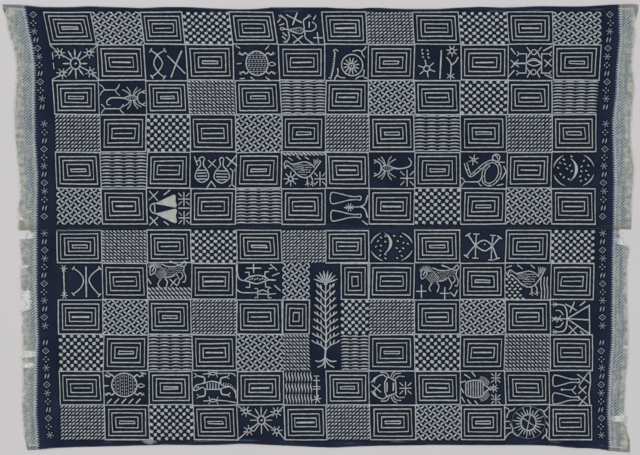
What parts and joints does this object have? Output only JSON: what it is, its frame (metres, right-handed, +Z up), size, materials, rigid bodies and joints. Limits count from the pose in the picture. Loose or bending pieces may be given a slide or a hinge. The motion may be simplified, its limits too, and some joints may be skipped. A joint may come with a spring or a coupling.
{
  "type": "ukara cloth",
  "caption": "Wrapper cloth of indigo resist-dyed cotton widths sewn side to side, laid out flat, with rolled long hems and torn short ends.",
  "frame": {"origin": "middle of the cloth, on the surface that it lies on", "axes": "+X along the length towards the right torn end, +Y across both widths towards the upper hem, +Z up out of the patterned face"},
  "size_m": [2.1545, 1.5203, 0.0076],
  "materials": {
    "indigo_cotton": "matte plain-weave cotton, dyed dark blue",
    "raw_cotton": "matte undyed cotton thread"
  },
  "bodies": {
    "root": {"upper_width": "indigo_cotton", "lower_width": "indigo_cotton"}
  },
  "joints": []
}
